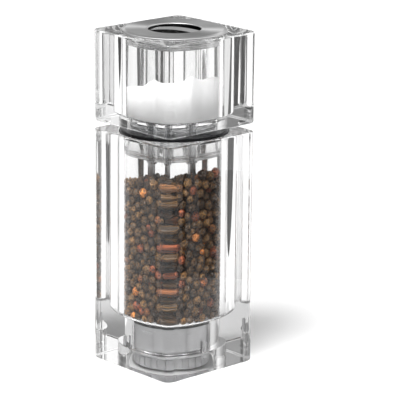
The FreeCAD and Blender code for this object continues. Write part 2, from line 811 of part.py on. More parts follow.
def drive_shaft():
    """Square rod with a threaded round end."""
    body = new_body("drive_shaft")
    section = new_sketch(body, "shaft_section", "XY_Plane", "shaft_foot")
    square(section, "shaft_side")
    pad(body, "shaft_rod", section, SALT_FLOOR + " - shaft_foot")
    end = new_sketch(body, "stud_section", "XY_Plane", SALT_FLOOR)
    round_hole(end, "0", "0", "stud_radius")
    pad(body, "shaft_stud", end, "stud_long")


def shaft_washer():
    ring("shaft_washer", "washer_radius", "stud_radius + contact",
         SALT_FLOOR + " + contact", "washer_thick")


def shaft_nut():
    foot = SALT_FLOOR + " + washer_thick + contact * 2"
    hexagon = DOC.addObject("Part::Prism", "nut_hexagon")
    hexagon.Polygon = 6
    tie(hexagon, "Circumradius", "nut_corner")
    tie(hexagon, "Height", "nut_tall")
    tie(hexagon, "Placement.Base.z", foot)
    thread = cylinder("nut_thread", "stud_radius + contact", foot + " - overshoot",
                      "nut_tall + overshoot * 2")
    cut("shaft_nut", hexagon, thread)


def shaft_clip():
    ring("shaft_clip", "clip_radius", "shaft_side / 2 * diagonal_ratio + contact",
         "plug_hub_foot - loose - clip_thick", "clip_thick")


def column_tube():
    ring("column_tube", "column_radius", "column_radius - column_wall", SALT_FLOOR + " + contact",
         "insert_plate - column_gap - ( " + SALT_FLOOR + " + contact )")


def salt_fill():
    """The space that the salt takes round the column."""
    body = new_body("salt_fill")
    foot = SALT_FLOOR + " + contact * 2"
    outer = "salt_radius - contact * 2"
    turn(body, "salt_solid", [
        ("column_radius + contact", foot),
        (outer + " - salt_floor_round", foot),
        (outer, foot + " + salt_floor_round"),
        (outer, "salt_level"),
        ("column_radius + contact", "salt_level"),
    ])


# ---------------------------------------------------------------- shaker insert and cap

def pour_holes(body, foot, tall, towards):
    """Two groups of three holes, opposite each other, at an angle from the finger bar."""
    for side in (0, 180):
        for step in (-1, 0, 1):
            angle = value_of("bar_turn") + towards + side + step * value_of("pour_step")
            name = "%s_hole%d" % (body.Label, round(angle))
            hole = new_sketch(body, name, "XY_Plane", foot)
            across = "pour_circle * %.5f" % math.cos(math.radians(angle))
            up = "pour_circle * %.5f" % math.sin(math.radians(angle))
            round_hole(hole, across, up, "pour_radius")
            pocket(body, name + "_cut", hole, tall)


def shaker_insert():
    body = new_body("shaker_insert")
    outer = "salt_radius - loose"
    turn(body, "insert_solid", [
        ("pivot_radius + running", "insert_plate"),
        ("insert_cup", "insert_plate"),
        ("insert_cup", "insert_foot"),
        (outer, "insert_foot"),
        (outer, "insert_groove_foot"),
        ("insert_groove_radius", "insert_groove_foot"),
        ("insert_groove_radius", "insert_groove_top"),
        (outer, "insert_groove_top"),
        (outer, SEAT_FLOOR),
        ("insert_well", SEAT_FLOOR),
        ("insert_well", "insert_plate_top"),
        ("pivot_radius + running", "insert_plate_top"),
    ])
    pour_holes(body, "insert_plate", "insert_plate_top - insert_plate", 0)


def insert_seal():
    seal("insert_seal", "salt_radius - contact - insert_seal_radius", "insert_seal_radius",
         "( insert_groove_foot + insert_groove_top ) / 2")


def cap_disc():
    """Steel disc pressed into a round dish at the middle."""
    body = new_body("cap_disc")
    cap_top = CAP_FOOT + " + cap_tall"
    dish_outer = "dish_radius + dish_wall"
    turn(body, "cap_solid", [
        ("pivot_radius + contact", DISH_FLOOR + " - dish_wall"),
        (dish_outer, DISH_FLOOR + " - dish_wall"),
        (dish_outer, CAP_FOOT),
        ("cap_radius", CAP_FOOT),
        ("cap_radius", CAP_FOOT + " + cap_edge"),
        ("cap_radius - cap_bevel", cap_top + " - cap_fall"),
        ("dish_radius + dish_wall", cap_top),
        ("dish_radius", cap_top + " - dish_bevel"),
        ("dish_radius", DISH_FLOOR),
        ("pivot_radius + contact", DISH_FLOOR),
    ])
    pour_holes(body, DISH_FLOOR + " - dish_wall", "dish_wall", 90)


def finger_bar():
    """Arched bar on two feet across the dish."""
    body = new_body("finger_bar")
    foot = DISH_FLOOR + " + contact"
    under = foot + " + bar_under"
    end_top = foot + " + bar_end_tall"
    profile = new_sketch(body, "bar_profile", "XZ_Plane")
    outline(profile, [
        ("0 - bar_half", foot),
        ("0 - bar_half + bar_leg", foot),
        ("0 - bar_half + bar_leg", under),
        ("bar_half - bar_leg", under),
        ("bar_half - bar_leg", foot),
        ("bar_half", foot),
        ("bar_half", end_top, "bar_arch"),
        ("0 - bar_half", end_top),
    ])
    solid = pad(body, "bar_solid", profile, "bar_wide")
    solid.Midplane = True
    DOC.recompute()
    body.Placement = FreeCAD.Placement(FreeCAD.Vector(), FreeCAD.Rotation(0, 0, 0))
    tie(body, "Placement.Rotation.Angle", "bar_turn")


def cap_screw():
    body = new_body("cap_screw")
    head_foot = DISH_FLOOR + " + contact"
    turn(body, "cap_screw_solid", [
        ("0", "insert_plate - loose - push_nut_thick - pivot_end"),
        ("pivot_radius", "insert_plate - loose - push_nut_thick - pivot_end"),
        ("pivot_radius", head_foot),
        ("pivot_head", head_foot),
        ("pivot_head", head_foot + " + pivot_head_tall"),
        ("0", head_foot + " + pivot_head_tall"),
    ])


def cap_push_nut():
    ring("cap_push_nut", "push_nut_radius", "pivot_radius + contact",
         "insert_plate - loose - push_nut_thick", "push_nut_thick")


# ---------------------------------------------------------------- build and write

MAKERS = [
    mill_block, mechanism_housing, grinding_ring, bearing_bridge, housing_screws, peppercorn_fill,
    rotor_spring, adjuster_dial, lift_screw, grinding_rotor, plug_cup, plug_seal, plug_collar,
    head_block, head_hub, drive_shaft, shaft_washer, shaft_nut, shaft_clip, column_tube, salt_fill,
    shaker_insert, insert_seal, cap_disc, finger_bar, cap_screw, cap_push_nut,
]


def check_document():
    for thing in DOC.Objects:
        if "Invalid" in thing.State or "Error" in thing.State:
            raise RuntimeError("%s failed: %s" % (thing.Label, thing.State))


def write_parts():
    os.makedirs("parts", exist_ok=True)
    for maker in MAKERS:
        piece = DOC.getObject(maker.__name__)
        shape = piece.Shape
        if shape.isNull() or not shape.isValid():
            raise RuntimeError(piece.Label + " has no valid shape")
        shape.exportStep("parts/%s.step" % piece.Label)
        box = shape.BoundBox
        print("%-18s solids %d  volume %9.1f  z %.2f to %.2f"
              % (piece.Label, len(shape.Solids), shape.Volume, box.ZMin, box.ZMax))


DOC = FreeCAD.newDocument("salt_and_pepper_mill")
make_sheet(DOC)
for maker in MAKERS:
    maker()
DOC.recompute()
check_document()
write_parts()
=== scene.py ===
import math

import bmesh
import bpy
import numpy as np
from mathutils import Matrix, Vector, kdtree


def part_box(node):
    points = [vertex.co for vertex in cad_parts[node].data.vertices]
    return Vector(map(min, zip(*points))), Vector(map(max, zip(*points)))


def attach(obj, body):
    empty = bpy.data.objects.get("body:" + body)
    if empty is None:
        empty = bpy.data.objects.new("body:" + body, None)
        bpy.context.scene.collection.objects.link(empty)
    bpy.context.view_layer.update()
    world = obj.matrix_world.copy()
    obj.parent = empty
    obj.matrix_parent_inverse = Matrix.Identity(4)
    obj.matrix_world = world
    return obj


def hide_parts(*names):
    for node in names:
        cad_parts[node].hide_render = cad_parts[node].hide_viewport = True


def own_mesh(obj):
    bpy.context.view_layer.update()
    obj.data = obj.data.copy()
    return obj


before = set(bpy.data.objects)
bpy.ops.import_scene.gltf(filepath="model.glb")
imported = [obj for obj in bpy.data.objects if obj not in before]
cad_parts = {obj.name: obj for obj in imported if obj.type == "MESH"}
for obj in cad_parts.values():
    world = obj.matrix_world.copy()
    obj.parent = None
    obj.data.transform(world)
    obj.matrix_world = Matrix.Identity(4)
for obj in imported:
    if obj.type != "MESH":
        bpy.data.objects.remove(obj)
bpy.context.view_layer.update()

# The looks of a clear salt shaker and pepper mill. Lengths are in metres; MM turns millimetres
# into metres. Every piece is placed by the boxes of the CAD nodes.

MM = 0.001
SCENE = bpy.context.scene


def low(node):
    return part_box(node)[0]


def high(node):
    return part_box(node)[1]


def radius(node):
    """Half the width of a round node."""
    return high(node).x


# ---------------------------------------------------------------- camera

AZIMUTH = math.radians(47.563)
PITCH = math.radians(15.063)
ROLL = math.radians(0.496)
DISTANCE = 1.14826
FOCUS = Vector((0.009607, 0.008076, 0.07852))
SENSOR = 36  # this and the lens are in millimetres, as Blender takes them
LENS = 220.74
ACROSS = Vector((math.cos(AZIMUTH), math.sin(AZIMUTH), 0))
TOWARDS = Vector((math.sin(AZIMUTH), -math.cos(AZIMUTH), 0))


def add_camera():
    """The camera at the photograph's angle."""
    back = Vector((math.sin(AZIMUTH) * math.cos(PITCH), -math.cos(AZIMUTH) * math.cos(PITCH),
                   math.sin(PITCH)))
    upright = back.cross(ACROSS)
    right = ACROSS * math.cos(ROLL) + upright * math.sin(ROLL)
    up = upright * math.cos(ROLL) - ACROSS * math.sin(ROLL)
    data = bpy.data.cameras.new("camera")
    data.sensor_width = SENSOR
    data.lens = LENS
    camera = bpy.data.objects.new("camera", data)
    SCENE.collection.objects.link(camera)
    matrix = camera.matrix_world.to_3x3()
    matrix.col[0] = right
    matrix.col[1] = up
    matrix.col[2] = back
    camera.matrix_world = matrix.to_4x4()
    camera.location = FOCUS + back * DISTANCE
    SCENE.camera = camera


# ---------------------------------------------------------------- materials

def new_material(name):
    """A node material with a Principled shader; gives the material, its tree and the shader."""
    material = bpy.data.materials.new(name)
    material.use_nodes = True
    tree = material.node_tree
    shader = tree.nodes["Principled BSDF"]
    return material, tree, shader


def link(tree, source, target):
    tree.links.new(source, target)


def noise(tree, scale, detail=3.0, roughness=0.5, stretch=None):
    """A noise texture in the object's own space, stretched if asked."""
    place = tree.nodes.new("ShaderNodeTexCoord")
    texture = tree.nodes.new("ShaderNodeTexNoise")
    texture.inputs["Scale"].default_value = scale
    texture.inputs["Detail"].default_value = detail
    texture.inputs["Roughness"].default_value = roughness
    source = place.outputs["Object"]
    if stretch:
        mapping = tree.nodes.new("ShaderNodeMapping")
        mapping.inputs["Scale"].default_value = stretch
        link(tree, source, mapping.inputs["Vector"])
        source = mapping.outputs["Vector"]
    link(tree, source, texture.inputs["Vector"])
    return texture.outputs["Fac"]


def spread(tree, source, from_low, from_high, to_low, to_high):
    """Map a value from one range to another."""
    node = tree.nodes.new("ShaderNodeMapRange")
    node.inputs["From Min"].default_value = from_low
    node.inputs["From Max"].default_value = from_high
    node.inputs["To Min"].default_value = to_low
    node.inputs["To Max"].default_value = to_high
    link(tree, source, node.inputs["Value"])
    return node.outputs["Result"]


def ramp(tree, source, stops):
    """A colour ramp: stops are (position, (r, g, b))."""
    node = tree.nodes.new("ShaderNodeValToRGB")
    band = node.color_ramp
    while len(band.elements) < len(stops):
        band.elements.new(0.5)
    for element, (place, colour) in zip(band.elements, stops):
        element.position = place
        element.color = (*colour, 1)
    link(tree, source, node.inputs["Fac"])
    return node.outputs["Color"]


def bump(tree, shader, source, strength, depth):
    """Fine relief; depth is its full height in metres."""
    node = tree.nodes.new("ShaderNodeBump")
    node.inputs["Strength"].default_value = strength
    node.inputs["Distance"].default_value = depth
    link(tree, source, node.inputs["Height"])
    link(tree, node.outputs["Normal"], shader.inputs["Normal"])


def multiply(tree, first, second):
    """Multiply two colours."""
    node = tree.nodes.new("ShaderNodeMix")
    node.data_type = "RGBA"
    node.blend_type = "MULTIPLY"
    node.inputs["Factor"].default_value = 1
    link(tree, first, node.inputs["A"])
    link(tree, second, node.inputs["B"])
    return node.outputs["Result"]


SHADOW_PASS = 0.91  # the share of lamplight that passes one clear surface
SMUDGE_SCALE = 90
WAVE_SCALE = 35
CLOUD_SCALE = 60
MOULD_CLOUD_SCALE = 120
MOULD_GRAIN_SCALE = 2500
CAP_CLOUD_SCALE = 70
FINE_RELIEF = 0.00002


def clear_material(name, colour, index, rough_low, rough_high, wave):
    """Clear plastic with faint smudges and waves. It lets lamplight through to what it holds."""
    material, tree, shader = new_material(name)
    shader.inputs["Base Color"].default_value = (*colour, 1)
    shader.inputs["Transmission Weight"].default_value = 1
    shader.inputs["IOR"].default_value = index
    smudge = noise(tree, SMUDGE_SCALE, 4)
    link(tree, spread(tree, smudge, 0.45, 0.75, rough_low, rough_high), shader.inputs["Roughness"])
    bump(tree, shader, noise(tree, WAVE_SCALE, 1), wave, FINE_RELIEF)
    path = tree.nodes.new("ShaderNodeLightPath")
    pass_through = tree.nodes.new("ShaderNodeBsdfTransparent")
    pass_through.inputs["Color"].default_value = (*[SHADOW_PASS * part for part in colour], 1)
    mix = tree.nodes.new("ShaderNodeMixShader")
    link(tree, path.outputs["Is Shadow Ray"], mix.inputs["Fac"])
    link(tree, shader.outputs["BSDF"], mix.inputs[1])
    link(tree, pass_through.outputs["BSDF"], mix.inputs[2])
    output = tree.nodes["Material Output"]
    link(tree, mix.outputs["Shader"], output.inputs["Surface"])
    return material


def metal_material(name, colour, rough_low, rough_high, grain_scale, stretch, groove):
    """Steel with a directional grain and a few cloudy marks."""
    material, tree, shader = new_material(name)
    shader.inputs["Metallic"].default_value = 1
    grain = noise(tree, grain_scale, 4, 0.6, stretch)
    cloud = noise(tree, CLOUD_SCALE, 3)
    tone = ramp(tree, cloud, [(0.35, [part * 0.88 for part in colour]), (0.7, colour)])
    link(tree, tone, shader.inputs["Base Color"])
    link(tree, spread(tree, grain, 0.3, 0.7, rough_low, rough_high), shader.inputs["Roughness"])
    bump(tree, shader, grain, groove, FINE_RELIEF)
    return material


def plastic_material(name, colour, rough_low, rough_high, depth):
    """Opaque moulded plastic or rubber with a fine texture."""
    material, tree, shader = new_material(name)
    cloud = noise(tree, MOULD_CLOUD_SCALE, 3)
    tone = ramp(tree, cloud, [(0.3, [part * 0.8 for part in colour]), (0.7, colour)])
    link(tree, tone, shader.inputs["Base Color"])
    link(tree, spread(tree, cloud, 0.3, 0.7, rough_low, rough_high), shader.inputs["Roughness"])
    bump(tree, shader, noise(tree, MOULD_GRAIN_SCALE, 2), 0.3, depth)
    return material


DULL_SPECULAR = 0.12


def dull(material):
    """Weaken a material's reflections."""
    shader = material.node_tree.nodes["Principled BSDF"]
    shader.inputs["Specular IOR Level"].default_value = DULL_SPECULAR
    return material


GRAIN_SCALE = 2200
SALT_GLOW_REACH = 0.003
FOLD_SCALE = 620
DUST_SCALE = 420


def salt_material():
    """Fine white grains that let light soak in."""
    material, tree, shader = new_material("salt")
    grains = tree.nodes.new("ShaderNodeTexVoronoi")
    grains.inputs["Scale"].default_value = GRAIN_SCALE
    place = tree.nodes.new("ShaderNodeTexCoord")
    link(tree, place.outputs["Object"], grains.inputs["Vector"])
    gap = grains.outputs["Distance"]
    tone = ramp(tree, gap, [(0.0, (1.0, 1.0, 1.0)), (0.8, (0.94, 0.94, 0.95))])
    link(tree, tone, shader.inputs["Base Color"])
    shader.inputs["Subsurface Weight"].default_value = 1
    shader.inputs["Subsurface Radius"].default_value = (1, 1, 1)
    shader.inputs["Subsurface Scale"].default_value = SALT_GLOW_REACH
    link(tree, spread(tree, gap, 0, 1, 0.35, 0.7), shader.inputs["Roughness"])
    bump(tree, shader, gap, 0.5, 0.0002)
    return material


def pepper_material():
    """Wrinkled peppercorn skins, each with a tone of its own. The wrinkle crests are painted
    lighter and the hollows darker: partly the skin's own lighter network, partly painted highlight
    and painted shade.
    """
    material, tree, shader = new_material("peppercorns")
    tone = tree.nodes.new("ShaderNodeAttribute")
    tone.attribute_name = "tone"
    skin = ramp(tree, tone.outputs["Fac"], [
        (0.0, (0.028, 0.016, 0.008)),
        (0.3, (0.072, 0.043, 0.019)),
        (0.6, (0.128, 0.077, 0.033)),
        (0.84, (0.2, 0.118, 0.048)),
        (0.9, (0.19, 0.062, 0.03)),
        (0.965, (0.24, 0.075, 0.036)),
        (0.985, (0.5, 0.19, 0.055)),
        (1.0, (0.56, 0.24, 0.065)),
    ])
    place = tree.nodes.new("ShaderNodeTexCoord")
    folds = tree.nodes.new("ShaderNodeTexVoronoi")
    folds.feature = "DISTANCE_TO_EDGE"
    folds.inputs["Scale"].default_value = FOLD_SCALE
    link(tree, place.outputs["Object"], folds.inputs["Vector"])
    gap = folds.outputs["Distance"]
    # Painted highlight and shade: the crests are lightened up to 2.6 times and the hollows
    # darkened, partly the skin's own lighter network.
    ridge_tone_and_painted_light = ramp(tree, gap, [
        (0.0, (2.6, 2.3, 2.0)),
        (0.1, (1.5, 1.35, 1.2)),
        (0.2, (0.7, 0.66, 0.6)),
        (0.5, (0.45, 0.42, 0.38)),
    ])
    dust = ramp(tree, noise(tree, DUST_SCALE, 3, 0.6),
                [(0.35, (0.6, 0.6, 0.6)), (0.7, (1.5, 1.45, 1.4))])
    dusty = multiply(tree, multiply(tree, skin, ridge_tone_and_painted_light), dust)
    link(tree, dusty, shader.inputs["Base Color"])
    link(tree, spread(tree, gap, 0, 0.4, 0.3, 0.6), shader.inputs["Roughness"])
    bump(tree, shader, ridge_tone_and_painted_light, 0.9, 0.0003)
    return material


RING_SCALE = 900
RING_WAVER = 1.5
RING_ROUGHNESS = 0.08


def cap_material(name, light, rough, one_way):
    """Polished steel with fine turned rings round the middle."""
    material, tree, shader = new_material(name)
    shader.inputs["Metallic"].default_value = 1
    place = tree.nodes.new("ShaderNodeTexCoord")
    rings = tree.nodes.new("ShaderNodeTexWave")
    rings.wave_type = "RINGS"
    rings.rings_direction = "Z"
    rings.inputs["Scale"].default_value = RING_SCALE
    rings.inputs["Distortion"].default_value = RING_WAVER
    rings.inputs["Detail"].default_value = 2
    link(tree, place.outputs["Object"], rings.inputs["Vector"])
    cloud = noise(tree, CAP_CLOUD_SCALE, 3)
    tone = ramp(tree, cloud, [(0.35, [light * 0.85] * 3), (0.7, [light] * 3)])
    link(tree, tone, shader.inputs["Base Color"])
    roughness = spread(tree, rings.outputs["Fac"], 0, 1, rough, rough + RING_ROUGHNESS)
    link(tree, roughness, shader.inputs["Roughness"])
    shader.inputs["Anisotropic"].default_value = one_way
    turned_grain = tree.nodes.new("ShaderNodeTangent")
    turned_grain.direction_type = "RADIAL"
    turned_grain.axis = "Z"
    link(tree, turned_grain.outputs["Tangent"], shader.inputs["Tangent"])
    bump(tree, shader, rings.outputs["Fac"], 0.1, 0.00001)
    return material


ACRYLIC_INDEX = 1.49
SILICONE_INDEX = 1.45
ACRYLIC = clear_material("clear_acrylic", (0.93, 0.93, 0.93), ACRYLIC_INDEX,
                         rough_low=0.0, rough_high=0.015, wave=0.05)
MOULDING = clear_material("clear_moulding", (0.99, 0.99, 0.99), ACRYLIC_INDEX,
                          rough_low=0.0, rough_high=0.02, wave=0.05)
HUB = clear_material("hub_moulding", (0.9, 0.91, 0.92), ACRYLIC_INDEX,
                     rough_low=0.02, rough_high=0.08, wave=0.1)
SILICONE = clear_material("seal_rubber", (0.97, 0.97, 0.97), SILICONE_INDEX,
                          rough_low=0.02, rough_high=0.08, wave=0.1)
CAP_STEEL = cap_material("polished_steel", light=0.66, rough=0.34, one_way=0.8)
# Painted highlight: a lighter copy of the cap's steel for the finger bar.
LIT_BAR_STEEL = cap_material("bar_steel_painted_highlight", light=0.9, rough=0.16, one_way=0.0)
# Painted shade: a near-black copy of the cap's steel, standing in for the dark the dish holds.
SHADED_DISH_STEEL = cap_material("dish_steel_painted_shade", light=0.12, rough=0.12, one_way=0.0)
STEEL = metal_material("brushed_steel", (0.7, 0.7, 0.71), rough_low=0.26, rough_high=0.4,
                       grain_scale=700, stretch=(0.03, 0.03, 1), groove=0.3)
ROD = metal_material("shaft_steel", (0.7, 0.7, 0.71), rough_low=0.2, rough_high=0.35,
                     grain_scale=900, stretch=(1, 1, 0.05), groove=0.2)
SPRING = metal_material("spring_steel", (0.6, 0.6, 0.61), rough_low=0.2, rough_high=0.3,
                        grain_scale=1500, stretch=(1, 1, 1), groove=0.2)
BURR = metal_material("burr_steel", (0.34, 0.34, 0.35), rough_low=0.35, rough_high=0.6,
                      grain_scale=900, stretch=(1, 1, 1), groove=0.6)
COLLAR = dull(plastic_material("collar_black", (0.008, 0.008, 0.009),
                               rough_low=0.12, rough_high=0.22, depth=0.00001))
DIAL = plastic_material("grey_plastic", (0.5, 0.5, 0.51),
                        rough_low=0.3, rough_high=0.5, depth=0.00004)
BLACK = plastic_material("black_plastic", (0.03, 0.03, 0.033),
                         rough_low=0.35, rough_high=0.55, depth=0.00004)
SALT = salt_material()
PEPPER = pepper_material()


def repaint(node, material):
    """Give a CAD node a material of this script."""
    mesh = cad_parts[node].data
    for index in range(len(mesh.materials)):
        mesh.materials[index] = material
    if not mesh.materials:
        mesh.materials.append(material)


# ---------------------------------------------------------------- meshes of revolution

ARC_STEPS = 6
EXTRA_STEPS = 4
LARGE_ARC = 1.5 * MM


def rounded_path(corners):
    """Follow a closed path of (radius, height, round) corners and give (radius, height, normal
    radius, normal height) samples, each corner an arc. The solid lies to the left of the path."""
    count = len(corners)
    samples = []
    for index, (r, z, size) in enumerate(corners):
        here = Vector((r, z))
        into = (here - Vector(corners[index - 1][:2])).normalized()
        away = (Vector(corners[(index + 1) % count][:2]) - here).normalized()
        turn = math.atan2(into.x * away.y - into.y * away.x, into.dot(away))
        reach = size * math.tan(abs(turn) / 2)
        steps = max(2, round(ARC_STEPS * abs(turn) / (math.pi / 2))
                    + (EXTRA_STEPS if size > LARGE_ARC else 0))
        side = 1 if turn > 0 else -1
        centre = here - into * reach + Vector((-into.y, into.x)) * size * side
        for step in range(steps + 1):
            angle = math.atan2(-into.x * side, into.y * side) + turn * step / steps
            spoke = Vector((math.cos(angle), math.sin(angle)))
            spot = centre + spoke * size
            samples.append((spot.x, spot.y, spoke.x * side, spoke.y * side))
    return samples


def circle_section(count):
    """Unit directions round Z, as (x, y) pairs."""
    angles = np.arange(count) * 2 * math.pi / count
    return np.stack([np.cos(angles), np.sin(angles)], 1)


def square_section(half, corner, flat_steps=40, corner_steps=16):
    """Points of a rounded square and their normals, counter-clockwise from the +X side."""
    points = []
    normals = []
    straight = half - corner
    for quarter in range(4):
        turn = quarter * math.pi / 2
        for step in range(flat_steps):
            y = -straight + 2 * straight * step / flat_steps
            points.append(turned(half, y, turn))
            normals.append(turned(1, 0, turn))
        for step in range(corner_steps):
            angle = math.pi / 2 * step / corner_steps
            points.append(turned(straight + corner * math.cos(angle),
                                 straight + corner * math.sin(angle), turn))
            normals.append(turned(math.cos(angle), math.sin(angle), turn))
    return np.array(points), np.array(normals)


def turned(x, y, angle):
    """A point of the plan, turned about the middle."""
    return (x * math.cos(angle) - y * math.sin(angle), x * math.sin(angle) + y * math.cos(angle))


def add_object(name, vertices, faces, normals=None):
    """A smooth mesh object in the scene, with its own vertex normals if given."""
    mesh = bpy.data.meshes.new(name)
    mesh.from_pydata([tuple(v) for v in vertices], [], faces)
    mesh.polygons.foreach_set("use_smooth", [True] * len(mesh.polygons))
    if normals is not None:
        mesh.normals_split_custom_set_from_vertices([tuple(n) for n in normals])
    mesh.update()
    obj = bpy.data.objects.new(name, mesh)
    SCENE.collection.objects.link(obj)
    return obj


def grid_faces(rings, around, closed):
    """Quads between neighbouring rings of points; if closed, the last ring joins the first."""
    faces = []
    last = rings if closed else rings - 1
    for ring in range(last):
        above = (ring + 1) % rings
        for spot in range(around):
            beside = (spot + 1) % around
            faces.append((ring * around + spot, ring * around + beside,
                          above * around + beside, above * around + spot))
    return faces


def spin(name, corners, count=160):
    """Spin a closed path round Z."""
    samples = rounded_path(corners)
    section = circle_section(count)
    vertices = []
    normals = []
    for r, z, across, up in samples:
        for x, y in section:
            vertices.append((x * r, y * r, z))
            normals.append((x * across, y * across, up))
    return add_object(name, vertices, grid_faces(len(samples), count, True), normals)


def square_spin(name, corners, half, corner, edge):
    """Spin a path whose outermost run follows a rounded square instead of a circle."""
    outline, facing = square_section(half, corner)
    angles = np.arctan2(outline[:, 1], outline[:, 0])
    round_unit = np.stack([np.cos(angles), np.sin(angles)], 1)
    vertices = []
    normals = []
    samples = rounded_path(corners)
    for r, z, across, up in samples:
        on_square = r > half - edge * 1.01  # the outer wall and its rounded edges
        if on_square:
            ring = outline - facing * (half - r)
            out = facing
        else:
            ring = round_unit * r
            out = round_unit
        for (x, y), (nx, ny) in zip(ring, out):
            vertices.append((x, y, z))
            normals.append((nx * across, ny * across, up))
    faces = grid_faces(len(samples), len(outline), True)
    return add_object(name, vertices, faces, normals)


def finish_piece(obj, material, body, slot, *nodes):
    """Material, body, slot and the CAD nodes that a piece stands for; the slot is not used."""
    obj.data.materials.append(material)
    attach(obj, body)
    if nodes:
        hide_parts(*nodes)


# ---------------------------------------------------------------- the two acrylic blocks

CORNER = 4.6 * MM
EDGE = 0.8 * MM
TINY = 0.15 * MM  # the round of an edge that looks sharp
PEPPER_ROUND = 2.2 * MM
SALT_ROUND = 1 * MM
PEPPER_R = radius("plug_seal") + 0.08 * MM
SALT_R = radius("insert_seal") + 0.05 * MM
RECESS_DEPTH = 12.4 * MM
STUD_HOLE = 3.8 * MM


def add_mill_block():
    """The lower block: pepper chamber, plug seat and the recess for the grinder."""
    half = high("mill_block").x
    top = high("mill_block").z
    ceiling = high("mechanism_housing").z - RECESS_DEPTH
    floor = high("bearing_bridge").z + 0.1 * MM
    throat = radius("bearing_bridge") + 0.3 * MM
    recess = radius("mechanism_housing") + 0.3 * MM
    seat_floor = low("plug_collar").z - 0.05 * MM
    seat = radius("plug_collar") + 0.2 * MM
    corners = [
        (throat, ceiling, TINY),
        (recess, ceiling, 0.4 * MM),
        (recess, 0, 0.4 * MM),
        (half, 0, EDGE),
        (half, top, EDGE),
        (seat, top, TINY),
        (seat, seat_floor, TINY),
        (PEPPER_R, seat_floor, TINY),
        (PEPPER_R, floor, PEPPER_ROUND),
        (throat, floor, TINY),
    ]
    block = square_spin("mill_block_clear", corners, half, CORNER, EDGE)
    finish_piece(block, ACRYLIC, "mill", "clear_acrylic", "mill_block")


def add_head_block():
    """The upper block: salt chamber, cap seat and the recess for the hub."""
    half = high("head_block").x
    foot = low("head_block").z
    top = high("head_block").z
    recess_top = high("head_hub").z + 0.05 * MM
    salt_floor = low("salt_fill").z - 0.1 * MM
    seat_floor = high("shaker_insert").z
    seat = radius("cap_disc") + 0.3 * MM
    recess = radius("head_hub") + 0.4 * MM
    corners = [
        (STUD_HOLE, recess_top, TINY),
        (recess, recess_top, TINY),
        (recess, foot, TINY),
        (half, foot, EDGE),
        (half, top, EDGE),
        (seat, top, TINY),
        (seat, seat_floor, TINY),
        (SALT_R, seat_floor, TINY),
        (SALT_R, salt_floor, SALT_ROUND),
        (STUD_HOLE, salt_floor, TINY),
    ]
    block = square_spin("head_block_clear", corners, half, CORNER, EDGE)
    finish_piece(block, ACRYLIC, "head", "clear_acrylic", "head_block")


# ---------------------------------------------------------------- plug, hub and column

SEAL_GAP = 0.05 * MM


def seal_groove(seal):
    """Bottom radius, lower side and upper side of the groove round an O-ring."""
    tall = high(seal).z - low(seal).z
    return radius(seal) - tall - SEAL_GAP, low(seal).z - SEAL_GAP, high(seal).z + SEAL_GAP


def add_plug():
    """The conical clear plug with its hub, and the dark collar on it."""
    hole = 3.62 * MM
    boss = 4.4 * MM
    hub = 8.2 * MM
    hub_wall = 1.4 * MM
    hub_foot = 2.3 * MM
    hub_shoulder = 6.2 * MM
    rim_wall = 2.2 * MM
    rim_rise = 5.2 * MM
    plate = 1.6 * MM
    foot = low("plug_cup").z
    top = high("plug_cup").z
    outer = radius("plug_cup")
    inner = outer - rim_wall
    rim = foot + rim_rise
    groove, groove_low, groove_high = seal_groove("plug_seal")
    corners = [
        (hole, foot, TINY),
        (boss, foot, 0.8 * MM),
        (outer, rim, 0.5 * MM),
        (outer, groove_low, TINY),
        (groove, groove_low, TINY),
        (groove, groove_high, TINY),
        (outer, groove_high, TINY),
        (outer, top, 0.2 * MM),
        (inner, top, 0.2 * MM),
        (inner, rim + plate, 1 * MM),
        (hub - hub_wall, foot + hub_foot, 0.6 * MM),
        (hub, foot + hub_shoulder, 3 * MM),
        (hub, top, 0.2 * MM),
        (hole, top, TINY),
    ]
    cup = spin("plug_cup_clear", corners)
    finish_piece(cup, MOULDING, "plug", "clear_moulding", "plug_cup")
    collar_hole = 4.5 * MM
    collar_low = low("plug_collar").z
    collar_high = high("plug_collar").z
    lip = radius("plug_collar")
    lip_top = collar_low + 1.15 * MM
    neck = lip - 0.5 * MM
    disc = spin("plug_collar_disc", [
        (collar_hole, collar_low, TINY),
        (lip, collar_low, TINY),
        (lip, lip_top, TINY),
        (neck, lip_top, TINY),
        (neck, collar_high, 0.4 * MM),
        (collar_hole, collar_high, TINY),
    ])
    finish_piece(disc, COLLAR, "plug", "collar_black", "plug_collar")


def add_ring_seal(name, body, node):
    """An O-ring the size of its CAD node."""
    section = (high(node).z - low(node).z) / 2
    middle = (high(node).z + low(node).z) / 2
    inner = radius(node) - section * 2
    outer = radius(node)
    bend = section * 0.999  # just short of a full round, so that no two points coincide
    ring = spin(name, [
        (inner, middle - section, bend),
        (outer, middle - section, bend),
        (outer, middle + section, bend),
        (inner, middle + section, bend),
    ])
    finish_piece(ring, SILICONE, body, "seal_rubber", node)


def add_hub():
    """The round foot on which the head turns."""
    hole = 3.6 * MM
    boss = 12.8 * MM
    foot = low("head_hub").z
    top = high("head_hub").z
    flange = radius("head_hub")
    flange_foot = top - 1.9 * MM
    hub = spin("head_hub_turned", [
        (hole, foot, TINY),
        (boss, foot, 0.5 * MM),
        (boss, flange_foot, 0.4 * MM),
        (flange, flange_foot, 0.3 * MM),
        (flange, top, 0.3 * MM),
        (hole, top, TINY),
    ])
    finish_piece(hub, HUB, "head", "hub_moulding", "head_hub")


def add_column():
    """The tube in the middle of the salt chamber."""
    outer = radius("column_tube")
    bore = outer - 1.2 * MM
    foot = low("column_tube").z
    top = high("column_tube").z
    tube = spin("column_tube_clear", [
        (bore, foot, TINY),
        (outer, foot, TINY),
        (outer, top, 0.3 * MM),
        (bore, top, 0.3 * MM),
    ])
    finish_piece(tube, MOULDING, "head", "clear_moulding", "column_tube")


# ---------------------------------------------------------------- grinder

